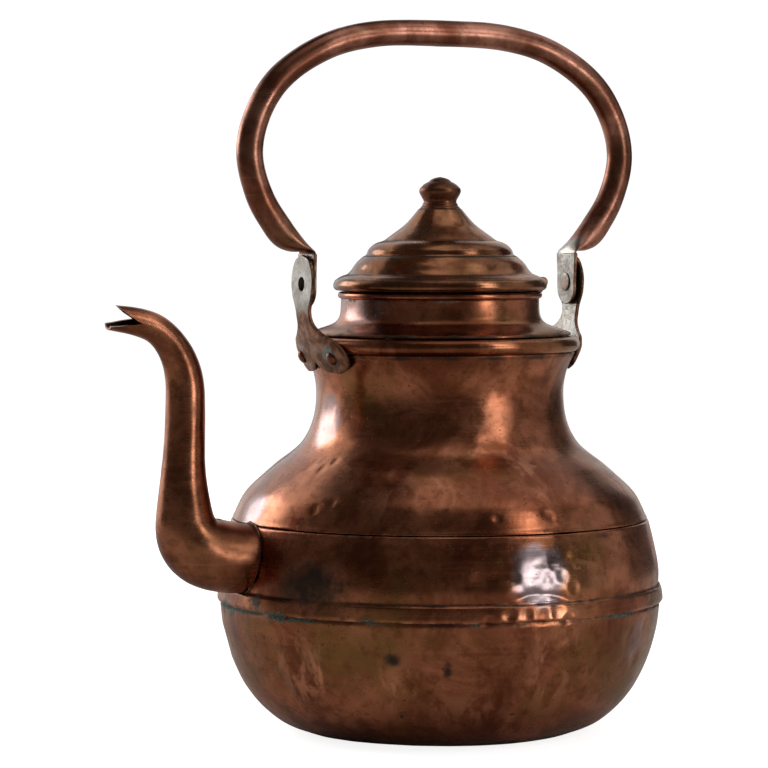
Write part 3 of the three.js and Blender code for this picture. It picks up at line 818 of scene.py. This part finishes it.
def bore(at_x, radius):
    """A round cutter along X through the middle of a plate."""
    line = np.array([(0, -6), (radius, -6), (radius, 6), (0, 6)], float)
    place = Matrix.Translation((at_x, 0, PIVOT_Z)) @ Matrix.Rotation(math.pi / 2, 4, "Y")
    return turned_solid("bore", line, 48, place)


def make_brackets(tinned, dark):
    for end, half_turn, bare_below in (("front", True, 189), ("rear", False, 170)):
        sheet = plate(f"{end}_strap", BRACKET_SIDE, BRACKET_NOTCH, BRACKET_LEAN, BRACKET_SHEET, half_turn,
                      wrap=BRACKET_BENT, bare_below=bare_below)
        cut_with(sheet, bore(-BRACKET_AT if half_turn else BRACKET_AT, BRACKET_HOLE_R))
        stands_for(sheet, f"{end}_bracket", tinned)
        for i, turn in enumerate((-FOOT_RIVET_TURN, FOOT_RIVET_TURN)):
            head = foot_rivet(f"{end}_foot_rivet_head_{i + 1}", (180 if half_turn else 0) + turn)
            stands_for(head, f"{end}_foot_rivet_{i + 1}", dark)


def foot_rivet(name, azimuth):
    """A domed rivet head on the bracket's foot, and its shank."""
    seat = Vector((63.0, 0, 167.4))
    slope = 25              # degrees by which it points down
    line = creased([(0, 2.0), (1.4, 1.8), (2.6, 1.15), (3.1, 0.4)], [(3.0, 0.1)], [(1.6, 0.1)],
                   [(1.6, -4.2)], [(0, -4.2)], step=0.25)
    place = (Matrix.Rotation(math.radians(azimuth), 4, "Z") @ Matrix.Translation(seat)
             @ Matrix.Rotation(math.radians(slope), 4, "Y") @ Matrix.Rotation(math.pi / 2, 4, "Y"))
    return turned_solid(name, line, 48, place, push=0.25)


def make_tabs(tinned):
    low = PIVOT_Z - 2.4
    top = TUBE_END_Z - 0.03
    round_end = arc(0, low, TAB_END_R, 0, -90, 7).tolist()
    side = [(0, top), (8.1, top), (8.3, top - 0.15), (8.15, 209), (TAB_END_R + 0.1, 203)] + round_end
    end = (0, low - TAB_END_R)
    side[-1] = (0.01, end[1])
    lean = [(TAB_IN, 180), (TAB_IN, 200), (TAB_IN, 220)]
    for name, half_turn in (("front", True), ("rear", False)):
        sheet = plate(f"{name}_strap_end", side, [end, end], lean, TAB_SHEET, half_turn, bevel=0.35)
        cut_with(sheet, bore((-1 if half_turn else 1) * (TAB_IN + TAB_SHEET / 2), TAB_HOLE_R))
        stands_for(sheet, f"{name}_tab", tinned)


def make_pivot_rivets(tinned):
    """Each flat head is on the tab's inner side, and its shank goes out into the bracket's hole."""
    inner = TAB_IN - 0.05
    line = creased([(0, 0.7), (2.6, 0.65), (3.9, 0.5), (4.35, 0.2)], [(4.3, 0)], [(2.7, 0)], [(2.7, -2.3)],
                   [(0, -2.3)], step=0.25)
    reach, depth = np.repeat(line, PIVOT_SIDES, axis=0).T
    # The shank, down in the bracket's hole, is painted dark: painted shade in the hole. The rim of the head
    # is darker too.
    marks = {"worn": np.maximum(0.52 * (1 - ease(reach, 2.8, 3.9)), depth < -0.1),
             "dirt_and_shade": 0.9 * np.maximum(ease(reach, 3.9, 4.3), depth < -0.1)}
    for name, side in (("front", math.pi), ("rear", 0)):
        place = (Matrix.Rotation(side, 4, "Z") @ Matrix.Translation((inner, 0, PIVOT_Z))
                 @ Matrix.Rotation(-math.pi / 2, 4, "Y"))
        rivet = turned_solid(f"{name}_pivot_pin", line, PIVOT_SIDES, place, push=0.1, marks=marks)
        stands_for(rivet, f"{name}_pivot_rivet", tinned)


# ---------- Lid ----------
def lid_line():
    top = LID_TOP - LID_Z
    rim = [(46.9, 0), (48, 1.0), (48.2, 2.7), (47.4, 4.6)]
    apron = [(44.5, 6.4), (41.8, 7.3)]
    tier = [(40.2, 9.0), (37.8, 12.4), (34.8, 15.2)]
    second = [(32.4, 18.2), (29.3, 21), (25.2, 22.4)]
    cone = [(22.6, 24.4), (16, 29.3), (12.2, 33.4), (9.9, top - 0.5)]
    seat = [(9.5, top - 0.03), (2.5, top - 0.03)]
    return creased(rim, apron, tier, [(33.2, 15.9)], second, cone, seat, step=0.45) + (0, LID_Z)


def lid_wear(points):
    push = 0.2 * clouds(points, 45, 9, 2) + 0.05 * facets(points, 8, 53) + 0.03 * clouds(points, 4, 57)
    return (push - 0.12) * ease(out_from_axis(points), 3, 14)


# Creases of the lid that hold dirt: height above its rim, half height, and how dark.
LID_CREASES = [(4.9, 0.45, 0.7), (7.3, 0.5, 0.6), (15.4, 0.45, 0.95), (22.5, 0.5, 0.7), (30.5, 0.3, 0.25),
               (36.4, 0.6, 0.7), (0.2, 0.6, 0.8)]


def lid_marks(points):
    height = points[..., 2] - LID_Z
    ragged = 0.6 + 0.4 * ease(clouds(points, 9, 121), -0.6, 0.4)
    dirt_and_shade = np.zeros(height.shape)
    for level, half, dark in LID_CREASES:
        dirt_and_shade = np.maximum(dirt_and_shade, dark * np.exp(-((height - level) / half) ** 2) * ragged)
    return {"dirt_and_shade": dirt_and_shade, "green": 0.7 * dirt_and_shade * ease(clouds(points, 16, 123), 0.0, 0.6)}


def make_lid(copper, dark):
    sheet = 1.0
    stands_for(turned_sheet("lid_sheet", lid_line(), sheet, lid_wear, lid_marks), "lid_dome", copper)
    flange_r = 41.8
    line = creased([(flange_r, LID_Z - 7.2), (flange_r, LID_Z - 0.6)], [(45.2, LID_Z + 0.9)],
                   step=0.5, soften=1)
    flange = turned_sheet("lid_skirt", line, 0.9, lambda p: 0.1 * clouds(p, 20, 13))
    stands_for(flange, "lid_flange", copper)
    stud = [[(0, -3.2), (2.2, -3.2)], [(2.2, 0)], [(9.1, 0)]]
    collars = [[(8.4, 0.9), (7.9, 1.3)], [(8.0, 1.8), (7.4, 2.5)]]
    ball = [[(7.4, 3.4), (8.4, 5.3), (9.2, 6.9), (9.4, 7.9), (9.1, 8.9), (8.6, 9.5)]]
    cap = [[(7.2, 10.8), (5.5, 11.8), (4.9, 12.0)], [(4.6, 12.5), (2.8, 13.5), (0, 14.1)]]
    line = creased(*stud, *collars, *ball, *cap, step=0.3, soften=1) + (0, LID_TOP)
    stands_for(turned_solid("knob_turned", line, 128, push=0.12), "lid_knob", dark)
    line = creased([(2.5, -0.8), (4.8, -0.8)], [(5, -0.4), (4.8, 0)], [(2.5, 0)], [(2.5, -0.7)],
                   step=0.2, soften=1) + (0, LID_TOP - sheet - GAP)
    stands_for(turned_solid("knob_rove", line, 64), "knob_washer", dark)


# ---------- Hinge ----------
def on_hinge(y):
    """Puts a thing turned about Z on the hinge's axis, at a place along it."""
    return Matrix.Translation((HINGE_X, y, HINGE_Z)) @ Matrix.Rotation(math.pi / 2, 4, "X")


def knuckle(name, radius, low, high):
    """A short round barrel along the hinge's axis, with eased ends."""
    eased = 0.35
    half = (high - low) / 2
    line = creased([(1.2, -half), (radius - eased, -half)], [(radius, eased - half)],
                   [(radius, half - eased)], [(radius - eased, half)], [(1.2, half)], step=0.2, soften=1)
    return turned_solid(name, line, 48, on_hinge((low + high) / 2))


def make_hinge(dark):
    radius = 2.4
    half = 4.8              # from the hinge's middle to its outer ends
    mid = 1.5               # to the ends of the middle knuckle
    strap = prism("strap", [(50.2, 201.6), (52.2, 202), (47.8, 203.6), (42.6, 205.8), (42.2, 204.5),
                            (47.4, 202.2), (49.4, 201.2)], mid)
    leaf = joined("lid_leaf", [rounded(strap, 0.3), knuckle("barrel", radius, -mid, mid)])
    stands_for(leaf, "lid_hinge_leaf", dark)
    post = prism("post", [(46.3, 187.6), (47.8, 187.6), (48.1, 193.4), (52.6, 198.0), (50.6, 198.0),
                          (49.4, 197.9), (46.3, 194.4)], half)
    barrels = [knuckle("barrel", radius, low, low + half - mid - GAP) for low in (-half, mid + GAP)]
    stands_for(joined("collar_leaf", [rounded(post, 0.3), *barrels]), "collar_hinge_leaf", dark)
    line = creased([(0, -half - 0.4), (0.9, -half - 0.35)], [(1.1, -half)], [(1.1, half)],
                   [(0.9, half + 0.35)], [(0, half + 0.4)], step=0.2, soften=1)
    stands_for(turned_solid("hinge_wire", line, 32, on_hinge(0)), "hinge_pin", dark)


# ---------- Materials ----------
RED_STAIN = (0.34, 0.105, 0.05)
BROWN_STAIN = (0.09, 0.045, 0.018)
# Brighter copper for rubbed places and for painted highlights.
RUBBED_COPPER_AND_HIGHLIGHT = (0.80, 0.36, 0.21)
# Whitish grey for bare metal, and for painted highlights and reflections.
BARE_METAL_AND_HIGHLIGHT = (0.31, 0.265, 0.28)
PIT = (0.02, 0.012, 0.008)
DIRT_AND_SHADE = (0.016, 0.010, 0.005)
VERDIGRIS = ((0.040, 0.050, 0.034), (0.17, 0.23, 0.18))
TIN_LEFT_INSIDE = (0.40, 0.38, 0.35)
TIN = ((0.26, 0.225, 0.19), (0.44, 0.42, 0.385))
TIN_PIT = (0.10, 0.07, 0.05)
TIN_DIRT_AND_SHADE = (0.03, 0.018, 0.011)
TIN_CRUST = (0.34, 0.43, 0.41)
COPPER_UNDER_TIN = ((0.15, 0.060, 0.030), (0.42, 0.21, 0.125))
SOLDER = ((0.10, 0.04, 0.022), (0.22, 0.09, 0.045))
SOLDER_CRUST = (0.16, 0.17, 0.13)


def fill(tree, node, values):
    """Gives inputs of a node, by name or number, a value or a link each."""
    for socket, value in values.items():
        if isinstance(value, bpy.types.NodeSocket):
            tree.links.new(value, node.inputs[socket])
        else:
            node.inputs[socket].default_value = value


def add_node(tree, kind, values):
    node = tree.nodes.new(kind)
    fill(tree, node, values)
    return node


class Graph:
    """Short ways to wire up one material's nodes."""

    def __init__(self, name):
        self.material = bpy.data.materials.new(name)
        self.material.use_nodes = True
        self.tree = self.material.node_tree
        self.shader = self.tree.nodes["Principled BSDF"]
        self.place = self.tree.nodes.new("ShaderNodeTexCoord").outputs["Object"]

    def noise(self, stretch, detail=4.0, rough=0.5, distortion=0.0):
        """Noise whose features are 1/stretch metres across on each axis."""
        scale = stretch if isinstance(stretch, tuple) else (stretch,) * 3
        placed = add_node(self.tree, "ShaderNodeMapping", {"Vector": self.place, "Scale": scale})
        node = add_node(self.tree, "ShaderNodeTexNoise", {"Vector": placed.outputs[0], "Scale": 1.0,
                        "Detail": detail, "Roughness": rough, "Distortion": distortion})
        return node.outputs["Fac"]

    def level(self, value, low, high, to_low=0.0, to_high=1.0):
        """A value eased from low and high to to_low and to_high."""
        node = add_node(self.tree, "ShaderNodeMapRange", {"Value": value, "From Min": low, "From Max": high,
                        "To Min": to_low, "To Max": to_high})
        node.interpolation_type = "SMOOTHSTEP"
        return node.outputs["Result"]

    def math(self, operation, a, b):
        node = add_node(self.tree, "ShaderNodeMath", {0: a, 1: b})
        node.operation = operation
        return node.outputs[0]

    def plus(self, a, b):
        return self.math("ADD", a, b)

    def minus(self, a, b):
        return self.math("SUBTRACT", a, b)

    def times(self, a, b):
        return self.math("MULTIPLY", a, b)

    def mix(self, factor, a, b):
        """Colour b over colour a."""
        node = self.tree.nodes.new("ShaderNodeMix")
        node.data_type = "RGBA"
        a, b = [(*color, 1) if isinstance(color, tuple) else color for color in (a, b)]
        fill(self.tree, node, {0: factor, 6: a, 7: b})
        return node.outputs[2]

    def mark(self, name):
        node = self.tree.nodes.new("ShaderNodeAttribute")
        node.attribute_name = name
        return node.outputs["Fac"]

    def ragged(self, mark, noise, middle, low, high):
        """A mark whose edge is torn up by a noise, which adds nothing where it equals middle."""
        return self.level(self.plus(self.mark(mark), self.minus(noise, middle)), low, high)

    def bump(self, height, depth, before=None):
        """Relief from a height of 0 to 1 that stands for depth in mm, over the relief before."""
        values = {"Height": height, "Strength": 1.0, "Distance": depth * MM}
        if before is not None:
            values["Normal"] = before
        return add_node(self.tree, "ShaderNodeBump", values).outputs["Normal"]

    def finish(self, color, roughness, metallic, normal):
        fill(self.tree, self.shader, {"Base Color": color, "Roughness": roughness, "Metallic": metallic,
                                      "Normal": normal})
        return self.material


def copper(name, dark, warm, olive, gloss, olive_share=0.5, spun=1.0, relief=1.0):
    """Old copper: brown patina in clouds over warm metal, turned scratches, pits, dirt and verdigris, with
    painted shade and painted highlights where marked.

    spun is how much it shows turning marks round the Z axis, and relief how rough it is.
    """
    g = Graph(name)
    mottle = g.noise(150, 8, 0.65)
    speckle = g.noise(1500, 3, 0.6)
    streaks = g.noise((14, 14, 420), 4, 0.6)
    scratches = g.noise((26, 26, 2600), 3, 0.7)
    color = g.mix(g.level(g.noise(26, 6, 0.62, 0.8), 0.36, 0.66), dark, warm)
    olive_clouds = g.plus(g.noise(19, 5, 0.55, 0.4), g.times(g.mark("olive"), 0.09))
    color = g.mix(g.level(olive_clouds, 0.62 - 0.25 * olive_share, 0.75), color, olive)
    color = g.mix(g.level(g.noise(44, 7, 0.68, 0.5), 0.5, 0.72, 0, 0.55), color, RED_STAIN)
    color = g.mix(g.level(mottle, 0.48, 0.66, 0, 0.6), color, dark)
    color = g.mix(g.level(g.noise((60, 60, 22), 6, 0.65), 0.56, 0.78, 0, 0.55), color, BROWN_STAIN)
    color = g.mix(g.level(streaks, 0.55, 0.8, 0, 0.35), color, warm)
    # Brighter streaks of rubbed copper, and painted highlights where the mark carries them.
    rubbed_and_highlight = g.level(g.noise((75, 75, 34), 6, 0.65, 0.3), 0.47, 0.6)
    color = g.mix(g.times(g.times(rubbed_and_highlight, g.mark("rubbed_and_highlight")), 0.85), color, RUBBED_COPPER_AND_HIGHLIGHT)
    pits = g.level(g.noise(560, 3, 0.6), 0.665, 0.72)
    color = g.mix(g.times(pits, 0.7), color, PIT)
    # Bare metal, and painted highlights where the mark carries them, in a whitish grey.
    bare_and_highlight = g.mark("bare_and_highlight")
    color = g.mix(g.times(bare_and_highlight, 0.8), color, BARE_METAL_AND_HIGHLIGHT)
    # Dirt, and painted shade where the mark carries it: the spout's shadow on the band, darkened dents and
    # the spout's bore.
    dirt_and_shade = g.plus(g.mark("dirt_and_shade"), g.times(g.minus(mottle, 0.5), 0.9))
    dirt_and_shade = g.level(dirt_and_shade, 0.25, 0.85, 0, 0.92)
    color = g.mix(dirt_and_shade, color, DIRT_AND_SHADE)
    flecks = g.plus(g.noise(420, 6, 0.75), g.times(g.noise(90, 4, 0.6), 0.8))
    crust = g.ragged("green", flecks, 0.95, 0.34, 0.72)
    color = g.mix(crust, color, g.mix(g.level(speckle, 0.42, 0.62), *VERDIGRIS))
    color = g.mix(g.times(g.ragged("tin", mottle, 0.5, 0.3, 0.8), 0.85), color, TIN_LEFT_INSIDE)
    rough = g.level(g.noise(60, 6, 0.6), 0.3, 0.75, gloss, gloss + 0.16)
    rough = g.plus(rough, g.times(g.minus(scratches, 0.5), 0.18))
    rough = g.minus(rough, g.times(bare_and_highlight, 0.07))
    rough = g.plus(rough, g.times(dirt_and_shade, 0.35))
    rough = g.plus(rough, g.times(crust, 0.4))
    metal = g.minus(1.0, g.math("MAXIMUM", g.times(dirt_and_shade, 0.7), crust))
    normal = g.bump(g.noise(55, 3, 0.5), 0.08 * relief)
    normal = g.bump(mottle, 0.03 * relief, normal)
    normal = g.bump(g.minus(1.0, pits), 0.05 * relief, normal)
    normal = g.bump(scratches, 0.006 * spun, normal)
    normal = g.bump(g.times(crust, speckle), 0.3, normal)
    fill(g.tree, g.shader, {"Anisotropic": 0.35 * spun, "Anisotropic Rotation": 0.25, "Coat Weight": 0.04,
                            "Coat Roughness": 0.3})
    if spun:
        tangent = g.tree.nodes.new("ShaderNodeTangent")
        tangent.direction_type = "RADIAL"
        tangent.axis = "Z"
        fill(g.tree, g.shader, {"Tangent": tangent.outputs[0]})
    return g.finish(color, rough, metal, normal)


def tinned_metal():
    """Tin plating worn through to brown copper, pitted and dirty at its edges, with painted shade where
    marked.
    """
    g = Graph("tinned_metal")
    patches = g.noise(150, 8, 0.7, 0.5)
    pits = g.level(g.noise(900, 4, 0.65), 0.58, 0.7)
    color = g.mix(g.level(patches, 0.35, 0.68), *TIN)
    color = g.mix(g.times(pits, 0.7), color, TIN_PIT)
    under = g.mix(g.level(g.noise(210, 5, 0.6), 0.4, 0.65), *COPPER_UNDER_TIN)
    color = g.mix(g.ragged("worn", patches, 0.5, 0.3, 0.7), color, under)
    # Dirt, and painted shade behind the tabs and in the rivets' holes.
    color = g.mix(g.times(g.ragged("dirt_and_shade", patches, 0.5, 0.3, 0.9), 0.9), color, TIN_DIRT_AND_SHADE)
    crust = g.ragged("green", g.noise(500, 4, 0.7), 0.5, 0.35, 0.65)
    color = g.mix(g.times(crust, 0.85), color, TIN_CRUST)
    rough = g.level(g.noise(240, 6, 0.6), 0.3, 0.7, 0.3, 0.5)
    rough = g.plus(rough, g.times(crust, 0.25))
    metal = g.minus(0.8, g.times(crust, 0.6))
    normal = g.bump(patches, 0.12)
    normal = g.bump(g.minus(1.0, pits), 0.06, normal)
    return g.finish(color, rough, metal, normal)


def solder_metal():
    """Dark solder full of dirt, with a grey-green crust where it is marked."""
    g = Graph("solder")
    lumps = g.noise(260, 6, 0.7)
    color = g.mix(g.level(lumps, 0.4, 0.65), *SOLDER)
    color = g.mix(g.ragged("green", lumps, 0.6, 0.3, 0.6), color, SOLDER_CRUST)
    return g.finish(color, g.level(lumps, 0.3, 0.7, 0.7, 0.5), 0.8, g.bump(lumps, 0.25))


# ---------- Camera, light and floor ----------
VIEW_TURN = math.radians(28)     # the camera stands this far round from straight in front
VIEW_DISTANCE = 1.4175
VIEW_HEIGHT = 0.2237
VIEW_AIM = Vector((-0.02225, 0.0118, 0.1544))
LENS = 147.66
LIT_AT = Vector((0, 0, 0.12))    # the lights face this point
FLOOR_DROP = 0.05                # mm that the floor lies under the base
FLOOR_RINGS = (1, 80, 200, 500, 1500)


def aim(thing, at):
    """Turns a camera or light to face a point."""
    thing.rotation_euler = (at - thing.location).to_track_quat("-Z", "Y").to_euler()


def make_camera():
    camera = linked("camera", bpy.data.cameras.new("camera"))
    camera.location = (-math.sin(VIEW_TURN) * VIEW_DISTANCE, -math.cos(VIEW_TURN) * VIEW_DISTANCE,
                       VIEW_HEIGHT)
    camera.data.lens = LENS
    aim(camera, VIEW_AIM)
    bpy.context.scene.camera = camera


def softbox(name, azimuth, elevation, distance, width, height, glow, color=(1, 1, 1)):
    """A rectangular light that faces the kettle's middle, in degrees and metres; glow is its brightness."""
    light = bpy.data.lights.new(name, "AREA")
    light.shape = "RECTANGLE"
    light.size = width
    light.size_y = height
    light.energy = glow * math.pi * width * height
    light.color = color
    box = linked(name, light)
    climb = math.radians(elevation)
    turn = math.radians(azimuth)
    flat = math.cos(climb)
    way = Vector((flat * math.cos(turn), flat * math.sin(turn), math.sin(climb)))
    box.location = LIT_AT + way * distance
    aim(box, LIT_AT)


def make_lights():
    softbox("window_left", 119, 18, 1.7, 0.8, 0.8, 3.4, (0.97, 0.99, 1.0))
    softbox("wall_left", 108, 22, 1.8, 2.5, 1.9, 0.75, (0.97, 0.99, 1.0))
    softbox("strip_right", -65, 0, 1.7, 0.42, 0.62, 5.4, (0.98, 0.99, 1.0))
    softbox("strip_high", -62, 33, 1.7, 0.38, 0.75, 3.8)
    softbox("strip_top", -45, 57, 1.6, 0.5, 0.5, 1.2)
    softbox("fill_right", -20, 14, 1.8, 1.1, 1.4, 0.3)
    softbox("fill_top", -66, 80, 1.6, 1.2, 1.0, 0.6)
    softbox("fill_high", 6, 50, 1.7, 1.0, 0.9, 0.55)
    softbox("wall_back", 50, 20, 1.8, 1.0, 1.6, 0.6, (1.0, 0.95, 0.9))


def split_by_ray(tree, seen, reflected, output):
    """Shows the camera one shader, and every reflection another."""
    ray = tree.nodes.new("ShaderNodeLightPath").outputs["Is Camera Ray"]
    mix = add_node(tree, "ShaderNodeMixShader", {0: ray, 1: reflected.outputs[0], 2: seen.outputs[0]})
    fill(tree, output, {"Surface": mix.outputs[0]})


def make_world():
    """White behind the kettle, and a dim room in its reflections."""
    world = bpy.data.worlds.new("studio")
    world.use_nodes = True
    tree = world.node_tree
    tree.nodes.clear()
    room = add_node(tree, "ShaderNodeBackground", {"Color": (1.0, 0.9, 0.82, 1), "Strength": 0.07})
    white = add_node(tree, "ShaderNodeBackground", {"Color": (1, 1, 1, 1), "Strength": 1.05})
    split_by_ray(tree, white, room, tree.nodes.new("ShaderNodeOutputWorld"))
    bpy.context.scene.world = world


def make_floor():
    """A pale floor: nearly white to the camera, and dimmer in the copper's reflections."""
    angle = np.linspace(0, 2 * math.pi, 96, endpoint=False)
    ring = np.stack([np.cos(angle), np.sin(angle), 0 * angle], -1)
    floor = skin("floor", np.array([ring * radius - (0, 0, FLOOR_DROP) for radius in FLOOR_RINGS]))
    material = bpy.data.materials.new("pale_floor")
    material.use_nodes = True
    tree = material.node_tree
    pale = tree.nodes["Principled BSDF"]
    fill(tree, pale, {"Base Color": (0.9, 0.9, 0.9, 1), "Roughness": 0.9, "Emission Color": (1, 1, 1, 1),
                      "Emission Strength": 0.86})
    dim = add_node(tree, "ShaderNodeBsdfDiffuse", {"Color": (0.8, 0.75, 0.7, 1)})
    split_by_ray(tree, pale, dim, tree.nodes["Material Output"])
    floor.data.materials.append(material)


# ---------- The scene ----------
make_camera()
body_copper = copper("aged_copper", (0.19, 0.055, 0.024), (0.58, 0.22, 0.115), (0.26, 0.13, 0.042), 0.21,
                     0.45)
handle_copper = copper("handle_copper", (0.16, 0.054, 0.03), (0.52, 0.24, 0.165), (0.20, 0.095, 0.045),
                       0.25, 0.2, spun=0.0, relief=0.2)
spout_copper = copper("spout_copper", (0.17, 0.056, 0.027), (0.52, 0.205, 0.11), (0.23, 0.105, 0.04), 0.23,
                      0.6, spun=0.0, relief=0.4)
lid_copper = copper("lid_copper", (0.13, 0.048, 0.02), (0.42, 0.18, 0.09), (0.18, 0.10, 0.036), 0.17, 0.7)
dark_copper = copper("dark_copper", (0.12, 0.045, 0.022), (0.30, 0.12, 0.065), (0.14, 0.075, 0.03), 0.3,
                     0.4, spun=0.0)
tin = tinned_metal()
make_body(body_copper, dark_copper)
make_spout(spout_copper, solder_metal())
make_handle(handle_copper)
make_brackets(tin, dark_copper)
make_tabs(tin)
make_pivot_rivets(tin)
make_lid(lid_copper, dark_copper)
make_hinge(dark_copper)
make_floor()
make_world()
make_lights()
bpy.context.scene.view_settings.view_transform = "Standard"
